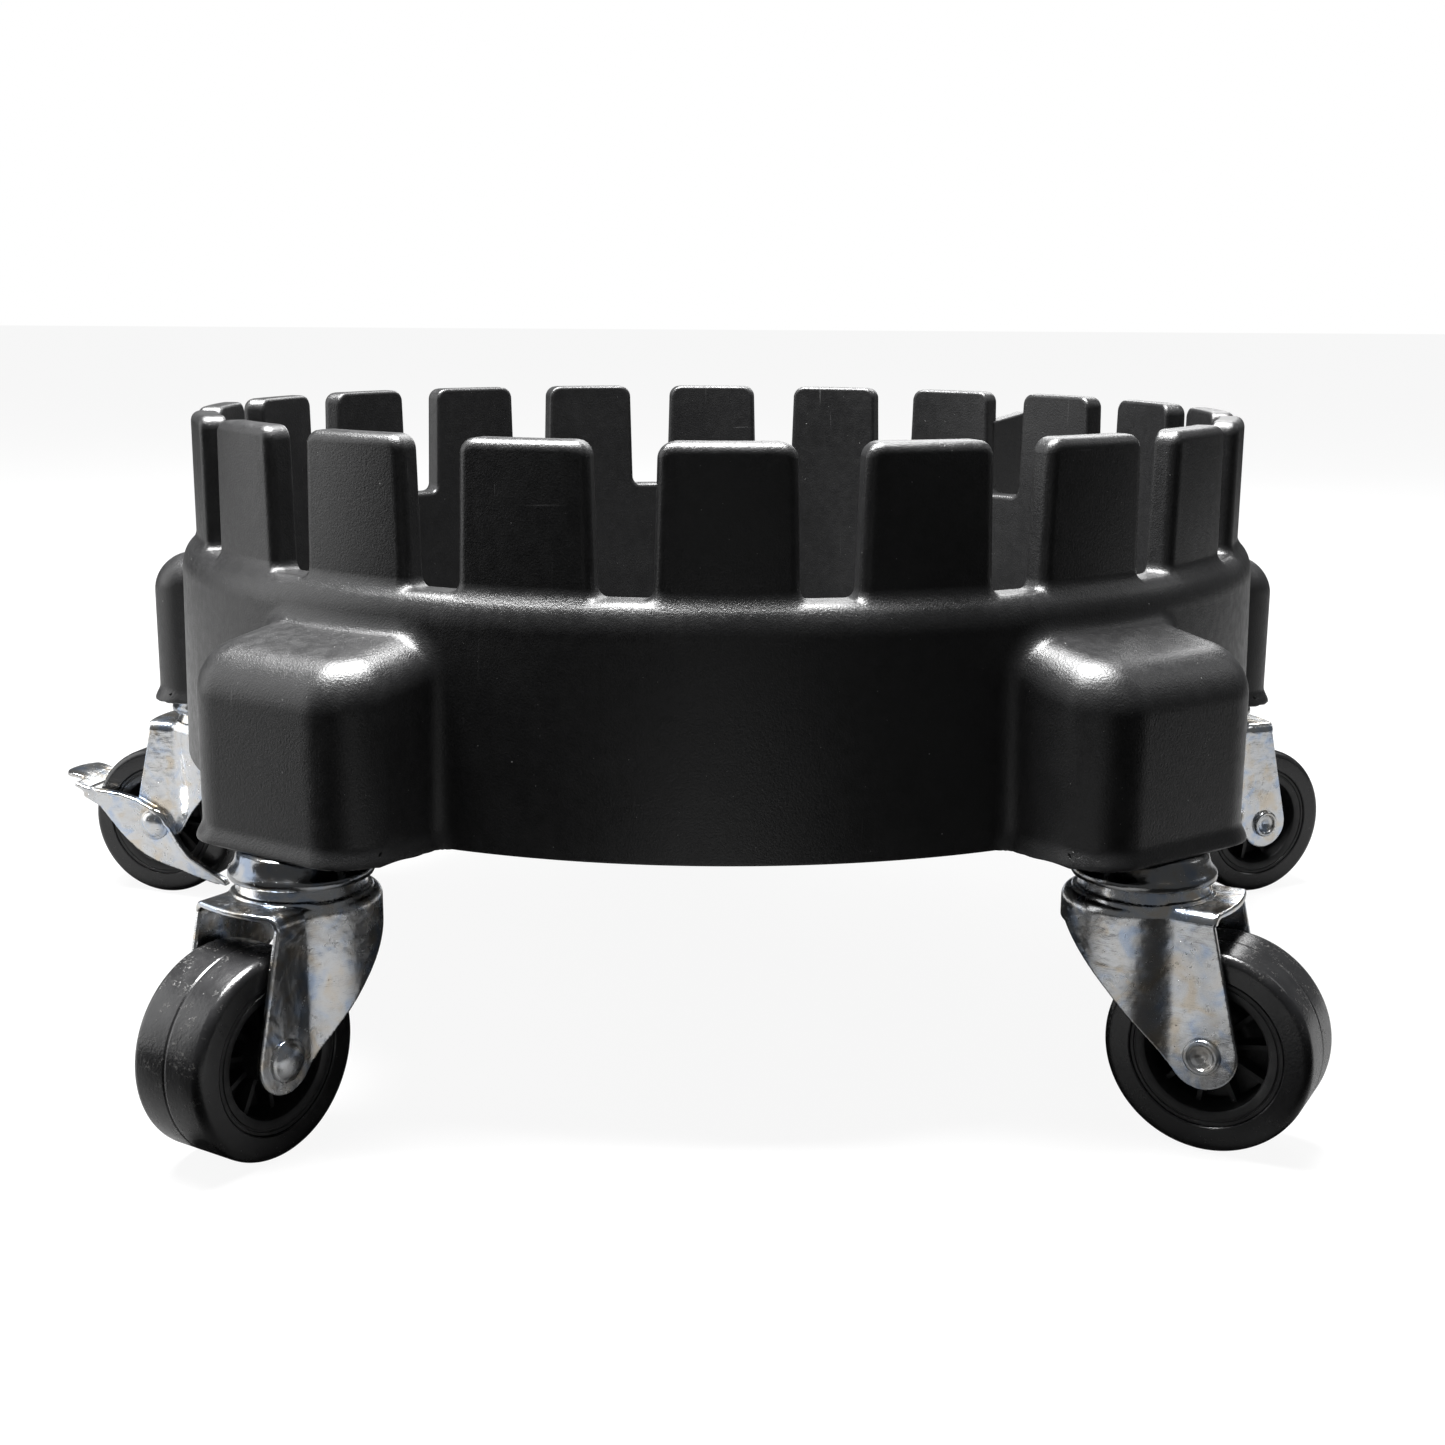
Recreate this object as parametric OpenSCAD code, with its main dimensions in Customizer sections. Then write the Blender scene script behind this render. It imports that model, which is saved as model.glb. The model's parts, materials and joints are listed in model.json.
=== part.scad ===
// Five-wheeled round pot caddy: a one-piece moulded tray with a castellated rim
// on five swivelling stem casters. Origin at the middle of the pot floor, on the
// tray's axis, front towards -Y, +Z up. Heights in the modules are above the
// ground, and at_datum() lowers each piece to the origin. Bearings are measured
// from the front, + towards +X.

/* [Tray] */
// Radius of the inside of the pot well
well_r = 146; // [120:1:180]
// Radial thickness of the rim teeth
tooth_t = 7.5; // [6:0.5:10]
// Outer radius of the skirt at its foot
skirt_r = 158.45; // [155:0.05:190]
// Wall thickness of the moulding
wall = 3; // [2.2:0.1:3.4]
// Height of the rim above the ground
rim_z = 167.5; // [150:0.5:190]
// Height of the floor of the gaps between the teeth
gap_z = 131.3; // [120:0.1:140]
// Height of the lower edge of the skirt
skirt_z = 70.3; // [70.3:0.1:70.3]
// Height of the pot floor above the ground
floor_z = 77; // [75:0.5:90]
// Number of teeth in one fifth of the rim
teeth_per_fifth = 4; // [3:1:5]
// Width of a gap at the rim
gap_w_top = 15.4; // [12:0.2:20]
// Width of a gap at its floor
gap_w_foot = 12.6; // [10:0.2:16]
// Radius of the corners of a gap's floor
gap_corner_r = 2.4; // [1:0.1:4]
// Radius of the rolled shoulder
shoulder_r = 6; // [3:0.5:8]

/* [Caster housings] */
// Radius from the axis to a caster's stem
stem_r_pos = 173.2; // [165:0.1:185]
// Radius from the axis to a housing's outer face
pod_r = 185.6; // [180:0.1:200]
// Half width of a housing
pod_half_w = 29.3; // [24:0.1:34]
// Height of a housing's top
pod_top_z = 118.5; // [108:0.5:124]
// Radius of a housing's corners and top edges
pod_corner_r = 11; // [6:0.5:13]
// Radius of the boss that holds the stem
boss_r = 9.3; // [8:0.1:10]
// Depth of the boss's hole above the skirt's lower edge
boss_depth = 27; // [24:0.5:32]

/* [Casters] */
// Wheel diameter
wheel_d = 50; // [45:1:50]
// Width of the tyre
tyre_w = 22.1; // [16:0.1:22.4]
// Horizontal distance from stem to axle
trail = 20.4; // [17:0.1:21]
// Thickness of the pressed steel
sheet = 1.6; // [1.2:0.1:1.8]
// Distance of a fork leg's outer face from the wheel's middle
leg_y = 13.6; // [13.4:0.1:15]
// Radius of the rounded leg end
leg_end_r = 8.4; // [7:0.1:9]
// Radius of the curved front of the fork
crown_r = 18.2; // [17.8:0.1:19]
// Radius of the axle rivet
axle_r = 3; // [2.5:0.1:3.2]
// Radius of the stem
stem_r = 5.5; // [5.3:0.1:5.6]
// Directions in which the wheels trail, from the front, for the casters FL, FR, RR, R, RL
swivel = [-33.8, 59.6, 111, 28, -105.4]; // [-180:0.1:180]

/* [Running fits] */
// Radial clearance of each turning joint
run_c = 0.05; // [0.02:0.01:0.1]
// Side clearance between moving pieces
side_c = 0.1; // [0.1:0.05:0.3]

/* [Hidden] */
$fn = 128;

plastic_c = [0.10, 0.10, 0.10];
zinc_c = [0.78, 0.80, 0.82];
tyre_c = [0.16, 0.16, 0.17];
hub_c = [0.24, 0.24, 0.24];

FL = 0; FR = 1; RR = 2; R = 3; RL = 4;
bearing = [-36, 36, 108, 180, -108];

n_teeth = 5 * teeth_per_fifth;
tooth_r = well_r + tooth_t;
inner_wall_r = well_r + 2.6;
wheel_r = wheel_d / 2;
axle_z = wheel_r;
plate_top = 60.2;          // top face of the fork plate
race_top = 64.8;           // top of the fork's raised race
cup_z = skirt_z;           // the bearing cup is seated on the boss
ball_r = 2;
ball_pitch_r = 11.4;
leg_in = leg_y - sheet;
crown_x = -1.3;            // middle of the curved fork front, along the trail
hub_len = 2 * leg_in - 1.2;
hub_rim_r = 18.5;
web_r = 14.5;
brake_y0 = leg_y + side_c;
brake_t = 1.4;

// ---------------------------------------------------------------- placing

// from heights above the ground to the origin on the pot floor
module at_datum() { translate([0, 0, -floor_z]) children(); }

// along the radius of a bearing measured from the front
module at_bearing(a) { rotate([0, 0, a - 90]) children(); }

// a caster's own axes: origin on the ground under the stem, +X trailing, +Y along the axle
module at_caster(i) {
  at_datum() at_bearing(bearing[i]) translate([stem_r_pos, 0, 0])
    rotate([0, 0, swivel[i] - bearing[i]]) children();
}

// ---------------------------------------------------------------- tray

// box with a flat foot whose other edges are rounded by r, x from x0 to x1
module round_box(x0, x1, hw, z0, z1, r) {
  translate([x0, -hw + r, z0]) cube([x1 - r - x0, 2 * (hw - r), z1 - z0]);
  translate([x0, -hw, z0]) cube([x1 - r - x0, 2 * hw, z1 - r - z0]);
  translate([x0, -hw + r, z0]) cube([x1 - x0, 2 * (hw - r), z1 - r - z0]);
  for (s = [-1, 1]) {
    translate([x1 - r, s * (hw - r), z0]) cylinder(r = r, h = z1 - r - z0);
    translate([x1 - r, s * (hw - r), z1 - r]) sphere(r = r);
    translate([x0, s * (hw - r), z1 - r]) rotate([0, 90, 0]) cylinder(r = r, h = x1 - r - x0);
  }
  translate([x1 - r, -hw + r, z1 - r]) rotate([-90, 0, 0]) cylinder(r = r, h = 2 * (hw - r));
}

// outer half section of the skirt and shoulder, without the teeth
module ring_section() {
  difference() {
    union() {
      translate([well_r, floor_z - wall]) square([tooth_t, gap_z - floor_z + wall]);
      translate([well_r + 0.8, skirt_z]) square([skirt_r - well_r - 0.8, gap_z - shoulder_r - skirt_z]);
      translate([well_r, gap_z - shoulder_r - 1]) square([skirt_r - shoulder_r - well_r, shoulder_r + 1]);
      translate([skirt_r - shoulder_r, gap_z - shoulder_r]) circle(r = shoulder_r);
    }
    // hollow between the well's wall and the skirt
    translate([inner_wall_r, skirt_z - 1]) square([skirt_r - wall - inner_wall_r, gap_z - shoulder_r - skirt_z + 1]);
    intersection() {
      translate([skirt_r - shoulder_r, gap_z - shoulder_r]) circle(r = shoulder_r - wall);
      translate([inner_wall_r, gap_z - shoulder_r - 1]) square([20, 20]);
    }
    translate([inner_wall_r, gap_z - shoulder_r - 1]) square([skirt_r - shoulder_r - inner_wall_r, shoulder_r - wall + 1]);
  }
}

// opening between two teeth, extruded along the radius
module gap_cut() {
  c = gap_corner_r;
  h = rim_z - gap_z + 1;
  dw = (gap_w_top - gap_w_foot) / 2 * (h / (rim_z - gap_z));
  translate([well_r - 8, 0, gap_z]) rotate([90, 0, 90]) linear_extrude(height = tooth_t + 22) {
    polygon([[-gap_w_foot / 2, c], [gap_w_foot / 2, c], [gap_w_foot / 2 + dw, h], [-gap_w_foot / 2 - dw, h]]);
    translate([-gap_w_foot / 2 + c, 0]) square([gap_w_foot - 2 * c, c + 0.5]);
    for (s = [-1, 1]) translate([s * (gap_w_foot / 2 - c), c]) circle(r = c);
  }
}

// hollow inside a tooth, open from below
module tooth_core() {
  core_w = 2 * tooth_r * sin(180 / n_teeth) - gap_w_top - 9;
  translate([inner_wall_r, -core_w / 2, gap_z - 8]) cube([tooth_r - 2.2 - inner_wall_r, core_w, rim_z - 2.6 - gap_z + 8]);
}

module pod_outer() {
  round_box(skirt_r - wall - 1, pod_r, pod_half_w, skirt_z, pod_top_z, pod_corner_r);
}

module pod_hollow() {
  difference() {
    translate([0, 0, -1]) round_box(skirt_r, pod_r - wall, pod_half_w - wall, skirt_z, pod_top_z - wall + 1, pod_corner_r - wall);
    translate([stem_r_pos, 0, skirt_z]) cylinder(r = boss_r, h = 60);
    // ribs that tie the boss to the housing
    translate([skirt_r - 2, -1.2, skirt_z + 1.5]) cube([stem_r_pos - skirt_r, 2.4, 60]);
    translate([stem_r_pos - 1.2, -pod_half_w, skirt_z + 1.5]) cube([2.4, 2 * pod_half_w, 60]);
  }
}

// plain fin that stands out of the rim behind the right-hand rear gap
module rim_fin() {
  at_bearing(138.6) rotate([90, 0, 0]) translate([0, 0, -2.4]) linear_extrude(height = 4.8)
    polygon([[skirt_r - 6.6, gap_z - 8], [skirt_r - 6.6, 157.2], [171.5, 159.4], [174.5, 157.6],
             [175, 145], [skirt_r - 1.2, 104], [skirt_r - 1.2, gap_z - 8]]);
}

module caddy_base() {
  color(plastic_c) at_datum() difference() {
    union() {
      difference() {
        union() {
          rotate_extrude($fn = 240) ring_section();
          // the toothed ring
          difference() {
            translate([0, 0, gap_z - 2]) cylinder(r = tooth_r, h = rim_z - gap_z + 2, $fn = 240);
            translate([0, 0, gap_z - 3]) cylinder(r = well_r, h = rim_z - gap_z + 5, $fn = 240);
          }
        }
        for (k = [0 : n_teeth - 1]) {
          at_bearing((k + 0.5) * 360 / n_teeth) gap_cut();
          at_bearing(k * 360 / n_teeth) tooth_core();
        }
      }
      // floor and the ribs under it
      translate([0, 0, floor_z - wall]) cylinder(r = well_r + 1, h = wall, $fn = 240);
      for (rr = [44, 96]) translate([0, 0, skirt_z]) difference() {
        cylinder(r = rr + 1.2, h = floor_z - wall - skirt_z + 0.5);
        translate([0, 0, -1]) cylinder(r = rr - 1.2, h = 20);
      }
      translate([0, 0, skirt_z]) difference() {
        cylinder(r = inner_wall_r, h = floor_z - wall - skirt_z + 0.5, $fn = 240);
        translate([0, 0, -1]) cylinder(r = well_r + 0.8, h = 20, $fn = 240);
      }
      for (k = [0 : 9]) at_bearing(k * 36) translate([44, -1.2, skirt_z]) cube([well_r - 43, 2.4, floor_z - wall - skirt_z + 0.5]);
      // ties between the well's wall and the skirt
      for (k = [0 : 9]) at_bearing(k * 36 + 18) translate([inner_wall_r - 0.5, -1.2, skirt_z + 2]) cube([skirt_r - wall + 1 - inner_wall_r, 2.4, 50]);
      for (a = bearing) at_bearing(a) difference() {
        pod_outer();
        pod_hollow();
      }
      rim_fin();
    }
    for (a = bearing) at_bearing(a) translate([stem_r_pos, 0, skirt_z - 1]) cylinder(r = stem_r + 0.4, h = boss_depth + 1);
  }
}

// ---------------------------------------------------------------- stem and bearing

// stem with its neck through the bearing, headed over under the fork plate
module stem() {
  color(zinc_c) rotate_extrude() polygon([
    [0, plate_top - sheet - 2.6], [4.2, plate_top - sheet - 2.6], [6.6, plate_top - sheet - 1.8], [7.2, plate_top - sheet - side_c],
    [5, plate_top - sheet - side_c], [5, skirt_z], [stem_r, skirt_z + 0.01], [stem_r, skirt_z + 14], [4.6, skirt_z + 14],
    [4.6, skirt_z + 17.6], [stem_r, skirt_z + 17.6], [stem_r, skirt_z + 22.5], [4.3, skirt_z + 25], [0, skirt_z + 25]]);
}

// split spring ring in the stem's groove
module grip_ring() {
  color(zinc_c) translate([0, 0, skirt_z + 14.1]) difference() {
    cylinder(r = stem_r + 0.38, h = 3.4);
    translate([0, 0, -1]) cylinder(r = 4.62, h = 6);
    translate([2, -0.8, -1]) cube([8, 1.6, 6]);
  }
}

module bearing_cup() {
  color(zinc_c) rotate_extrude() polygon([
    [5, 70.3], [13.8, 70.3], [15.1, 69.5], [15.9, 67.6], [17.0, 66], [17.4, 65], [17.4, 63.9], [17.1, 63.5],
    [16.1, 63.5], [16, 64.8], [15.2, 66.3], [14.2, 68.5], [13.2, 69.1], [5, 69.1]]);
}

module bearing_balls() {
  color(zinc_c) for (k = [0 : 12]) rotate([0, 0, k * 360 / 13])
    translate([ball_pitch_r, 0, race_top + ball_r + 0.1]) sphere(r = ball_r, $fn = 32);
}

// ---------------------------------------------------------------- fork

// point where a line from p touches the circle of radius r about c, on the side s
function touch(p, c, r, s) = let (d = norm(p - c), a = atan2(p[1] - c[1], p[0] - c[0]), b = acos(r / d)) c + r * [cos(a + s * b), sin(a + s * b)];

// outline of the fork seen from above, grown inwards by k
module fork_plan(k) {
  translate([crown_x, 0]) circle(r = crown_r - k);
  translate([0, -leg_y + k]) square([22.4, 2 * (leg_y - k)]);
}

// outline of the fork seen from the side
module fork_side() {
  c = [trail, axle_z];
  p1 = [22.4, plate_top];
  p2 = [-15, 51.6];
  polygon([[-25, plate_top + 5], [-25, 52], p2, touch(p2, c, leg_end_r, 1), c, touch(p1, c, leg_end_r, -1), p1, [22.4, plate_top + 5]]);
  translate(c) circle(r = leg_end_r);
}

module fork() {
  color(zinc_c) difference() {
    union() {
      intersection() {
        translate([0, 30, 0]) rotate([90, 0, 0]) linear_extrude(height = 60) fork_side();
        difference() {
          linear_extrude(height = plate_top) fork_plan(0);
          translate([0, 0, -1]) linear_extrude(height = plate_top - sheet + 1) { fork_plan(sheet); translate([20, -leg_in]) square([20, 2 * leg_in]); }
        }
      }
      // raised race
      rotate_extrude() polygon([[8.2, plate_top - sheet], [8.2, race_top - 0.8], [9, race_top], [14.2, race_top], [15.1, race_top - 0.9],
        [15.1, plate_top - 0.5], [13.6, plate_top - sheet], [13.6, race_top - 1.6], [9.7, race_top - 1.6], [9.7, plate_top - sheet]]);
    }
    // underside of the race, then the stem's hole
    difference() {
      translate([0, 0, plate_top - sheet - 1]) cylinder(r = 13.6, h = race_top - 1.6 - plate_top + sheet + 1);
      translate([0, 0, plate_top - sheet - 2]) cylinder(r = 9.7, h = 20);
    }
    translate([0, 0, 40]) cylinder(r = 5 + run_c, h = 40);
    translate([trail, 30, axle_z]) rotate([90, 0, 0]) cylinder(r = axle_r, h = 60);
  }
}

// ---------------------------------------------------------------- axle, wheel

// axle rivet: domed head on +Y, rolled tubular end on -Y; ext is what the brake adds
module axle_rivet(ext) {
  color(zinc_c) translate([trail, 0, axle_z]) rotate([-90, 0, 0]) difference() {
    union() {
      translate([0, 0, -leg_y - ext]) cylinder(r = axle_r, h = 2 * (leg_y + ext));
      translate([0, 0, leg_y + ext]) rotate_extrude() polygon([[0, 0], [5.2, 0], [5.2, 0.5], [4.9, 0.9], [4.2, 1.3], [3.2, 1.7], [1.8, 2], [0, 2.1]]);
      translate([0, 0, -leg_y - ext]) rotate_extrude() polygon([[0, 0.01], [4.7, 0.01], [4.7, -0.5], [4.2, -1.1], [3.2, -1.4], [0, -1.4]]);
    }
    translate([0, 0, -leg_y - ext - 2]) cylinder(r1 = 2.4, r2 = 1.6, h = 4);
    translate([0, 0, -leg_y - ext + 1.9]) cylinder(r = 1.6, h = 2.2);
  }
}

module hub() {
  color(hub_c) translate([trail, 0, axle_z]) rotate([90, 0, 0]) difference() {
    union() {
      // rim, web, ribs and barrel
      difference() {
        translate([0, 0, -tyre_w / 2 + 0.4]) cylinder(r = hub_rim_r, h = tyre_w - 0.8);
        for (s = [0, 1]) mirror([0, 0, s]) translate([0, 0, 1.5]) cylinder(r = web_r, h = 20);
      }
      translate([0, 0, -hub_len / 2]) cylinder(r = 6.2, h = hub_len);
      for (k = [0 : 4]) rotate([0, 0, k * 72]) translate([4, -1, -8]) cube([web_r - 3.5, 2, 16]);
    }
    translate([0, 0, -20]) cylinder(r = axle_r + run_c, h = 40);
  }
}

module tyre() {
  r = wheel_r;
  w = tyre_w / 2;
  color(tyre_c) translate([trail, 0, axle_z]) rotate([90, 0, 0]) rotate_extrude() difference() {
    union() {
      translate([hub_rim_r, -w]) square([r - 2.4 - hub_rim_r, 2 * w]);
      translate([hub_rim_r, -w + 2.4]) square([r - hub_rim_r, 2 * (w - 2.4)]);
      for (s = [-1, 1]) translate([r - 2.4, s * (w - 2.4)]) circle(r = 2.4);
    }
    translate([0, -w - 1]) square([hub_rim_r, 2 * w + 2]);
  }
}

// ---------------------------------------------------------------- brake

// side plate of the brake lever, about the axle: a crescent with a tail
module brake_side() {
  polygon([[26.8, 11.4], [26.6, 7.6], [20.6, 4.6], [16.4, -0.4], [12.2, -5.2], [7.2, -9.4], [4.2, -11.3], [0, -13.2], [-6.1, -15], [-8.4, -15.6],
           [-13.7, -17.4], [-21.2, -19.4], [-25.4, -20], [-26.4, -18.8], [-25.2, -17.2], [-21.2, -15.2], [-13.7, -10.9], [-10.4, -7.2],
           [-8.6, -4.4], [-6.4, -0.6], [-3.5, 2.8], [0, 5.6], [6, 8.6], [11.8, 10.1], [19.9, 10.8]]);
}

module brake_lever() {
  color(zinc_c) at_caster(RL) translate([trail, 0, axle_z]) difference() {
    union() {
      for (s = [0, 1]) mirror([0, s, 0]) translate([0, brake_y0 + brake_t, 0]) rotate([90, 0, 0]) linear_extrude(height = brake_t) brake_side();
      // pedal bridge across the wheel
      translate([26.1, 0, 10.3]) rotate([0, -24, 0]) {
        translate([-0.3, -brake_y0 - brake_t, -brake_t / 2]) cube([4.2, 2 * (brake_y0 + brake_t), brake_t]);
        translate([3.5, -8.5, -brake_t / 2]) cube([6, 17, brake_t]);
        intersection() {
          translate([2, 0, -brake_t / 2]) cylinder(r = 10.4, h = brake_t);
          translate([0, -8.5, -2]) cube([20, 17, 4]);
        }
      }
    }
    translate([0, 30, 0]) rotate([90, 0, 0]) cylinder(r = axle_r + run_c, h = 60);
  }
}

// ---------------------------------------------------------------- nodes

caddy_base();
at_caster(FL) stem();  // stem_front_left
at_caster(FR) stem();  // stem_front_right
at_caster(RR) stem();  // stem_rear_right
at_caster(R) stem();  // stem_rear
at_caster(RL) stem();  // stem_rear_left
at_caster(FL) grip_ring();  // grip_ring_front_left
at_caster(FR) grip_ring();  // grip_ring_front_right
at_caster(RR) grip_ring();  // grip_ring_rear_right
at_caster(R) grip_ring();  // grip_ring_rear
at_caster(RL) grip_ring();  // grip_ring_rear_left
at_caster(FL) bearing_cup();  // bearing_cup_front_left
at_caster(FR) bearing_cup();  // bearing_cup_front_right
at_caster(RR) bearing_cup();  // bearing_cup_rear_right
at_caster(R) bearing_cup();  // bearing_cup_rear
at_caster(RL) bearing_cup();  // bearing_cup_rear_left
at_caster(FL) fork();  // fork_front_left
at_caster(FR) fork();  // fork_front_right
at_caster(RR) fork();  // fork_rear_right
at_caster(R) fork();  // fork_rear
at_caster(RL) fork();  // fork_rear_left
at_caster(FL) bearing_balls();  // bearing_balls_front_left
at_caster(FR) bearing_balls();  // bearing_balls_front_right
at_caster(RR) bearing_balls();  // bearing_balls_rear_right
at_caster(R) bearing_balls();  // bearing_balls_rear
at_caster(RL) bearing_balls();  // bearing_balls_rear_left
at_caster(FL) axle_rivet(0);  // axle_rivet_front_left
at_caster(FR) axle_rivet(0);  // axle_rivet_front_right
at_caster(RR) axle_rivet(0);  // axle_rivet_rear_right
at_caster(R) axle_rivet(0);  // axle_rivet_rear
at_caster(RL) axle_rivet(brake_t + 2 * side_c);  // axle_rivet_rear_left
at_caster(FL) hub();  // hub_front_left
at_caster(FR) hub();  // hub_front_right
at_caster(RR) hub();  // hub_rear_right
at_caster(R) hub();  // hub_rear
at_caster(RL) hub();  // hub_rear_left
at_caster(FL) tyre();  // tyre_front_left
at_caster(FR) tyre();  // tyre_front_right
at_caster(RR) tyre();  // tyre_rear_right
at_caster(R) tyre();  // tyre_rear
at_caster(RL) tyre();  // tyre_rear_left
brake_lever();
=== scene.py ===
import json
import math
import bpy
import numpy as np
from mathutils import Matrix, Vector


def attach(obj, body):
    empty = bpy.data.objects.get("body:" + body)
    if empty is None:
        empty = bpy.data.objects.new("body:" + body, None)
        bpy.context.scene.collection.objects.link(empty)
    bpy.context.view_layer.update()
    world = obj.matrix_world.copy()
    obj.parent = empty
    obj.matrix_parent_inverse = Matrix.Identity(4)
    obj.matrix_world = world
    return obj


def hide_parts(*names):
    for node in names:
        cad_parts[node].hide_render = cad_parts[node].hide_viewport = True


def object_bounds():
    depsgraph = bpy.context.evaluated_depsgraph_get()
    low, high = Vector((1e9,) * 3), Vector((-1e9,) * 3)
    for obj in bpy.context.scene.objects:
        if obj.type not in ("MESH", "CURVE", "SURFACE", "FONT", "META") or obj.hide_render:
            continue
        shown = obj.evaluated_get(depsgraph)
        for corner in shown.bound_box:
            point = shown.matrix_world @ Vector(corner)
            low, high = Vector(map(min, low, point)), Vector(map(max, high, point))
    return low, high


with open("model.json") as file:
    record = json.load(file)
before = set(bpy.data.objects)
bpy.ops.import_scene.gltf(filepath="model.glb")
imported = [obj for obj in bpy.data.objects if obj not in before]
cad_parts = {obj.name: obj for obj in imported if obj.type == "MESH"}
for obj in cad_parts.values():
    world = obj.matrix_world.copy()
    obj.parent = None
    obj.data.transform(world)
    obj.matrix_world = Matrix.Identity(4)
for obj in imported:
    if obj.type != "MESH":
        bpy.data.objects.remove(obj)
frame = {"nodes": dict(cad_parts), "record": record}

CAD_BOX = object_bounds()
GROUND = CAD_BOX[0][2]                    # the frame's origin is on the pot floor
UP0 = np.array([0.0, 0.0, GROUND])
RAD = math.pi / 180.0
CAST = ["front_left", "front_right", "rear_right", "rear", "rear_left"]
NODES = frame["nodes"]


def joint(name):
    return next(j for j in frame["record"]["behaviour"]["joints"] if j["name"] == name)


# each caster's own axes, from the frame's joints: origin on the ground under the
# stem, x trailing, y along the axle, z up, in millimetres
class Caster:
    def __init__(self, name):
        k = joint("swivel_" + name)["pos_m"]
        w = joint("wheel_" + name)
        self.name = name
        self.k = np.array([k[0], k[1], GROUND])
        self.n = np.array(w["axis"], float)
        self.u = np.array([self.n[1], -self.n[0], 0.0])
        self.trail = float(np.dot(np.array(w["pos_m"]) - self.k, self.u)) * 1000
        self.az = (w["pos_m"][2] - GROUND) * 1000

    def place(self, p):
        p = np.asarray(p) / 1000.0
        return self.k + p[:, :1] * self.u + p[:, 1:2] * self.n + p[:, 2:3] * np.array([0, 0, 1.0])

    def turn(self, v):
        v = np.asarray(v)
        return v[:, :1] * self.u + v[:, 1:2] * self.n + v[:, 2:3] * np.array([0, 0, 1.0])


CASTERS = [Caster(c) for c in CAST]
TRAIL, AXLE = CASTERS[0].trail, CASTERS[0].az

# ------------------------------------------------------------------ distance fields


def ru(a, b, r):
    "round union: fillet of radius r in the corner between a and b"
    return np.maximum(r, np.minimum(a, b)) - np.hypot(np.maximum(r - a, 0), np.maximum(r - b, 0))


def ri(a, b, r):
    "round intersection: edge of radius r between a and b"
    return np.minimum(-r, np.maximum(a, b)) + np.hypot(np.maximum(r + a, 0), np.maximum(r + b, 0))


def step(t):
    t = np.clip(t, 0, 1)
    return t * t * (3 - 2 * t)


def poly_sdf(px, py, pts):
    d = np.full(px.shape, 1e9)
    inside = np.zeros(px.shape, bool)
    n = len(pts)
    for i in range(n):
        ax, ay = pts[i]
        bx, by = pts[(i + 1) % n]
        ex, ey = bx - ax, by - ay
        wx, wy = px - ax, py - ay
        t = np.clip((wx * ex + wy * ey) / (ex * ex + ey * ey), 0, 1)
        d = np.minimum(d, np.hypot(wx - ex * t, wy - ey * t))
        if ey != 0:
            c = ((ay > py) != (by > py)) & (px < ex * (py - ay) / ey + ax)
            inside ^= c
    return np.where(inside, -d, d)


def grad(f, p, e=0.03):
    g = np.empty_like(p)
    for k in range(3):
        a = p.copy(); a[:, k] += e
        b = p.copy(); b[:, k] -= e
        g[:, k] = (f(a[:, 0], a[:, 1], a[:, 2]) - f(b[:, 0], b[:, 1], b[:, 2])) / (2 * e)
    return g


def project(f, p, n=4, lim=0.6):
    for _ in range(n):
        g = grad(f, p)
        v = f(p[:, 0], p[:, 1], p[:, 2])
        q = (g * g).sum(1)
        d = g * (v / np.maximum(q, 0.05))[:, None]
        m = np.linalg.norm(d, axis=1)
        d *= np.minimum(1, lim / np.maximum(m, 1e-9))[:, None]
        p = p - d
    return p


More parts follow.
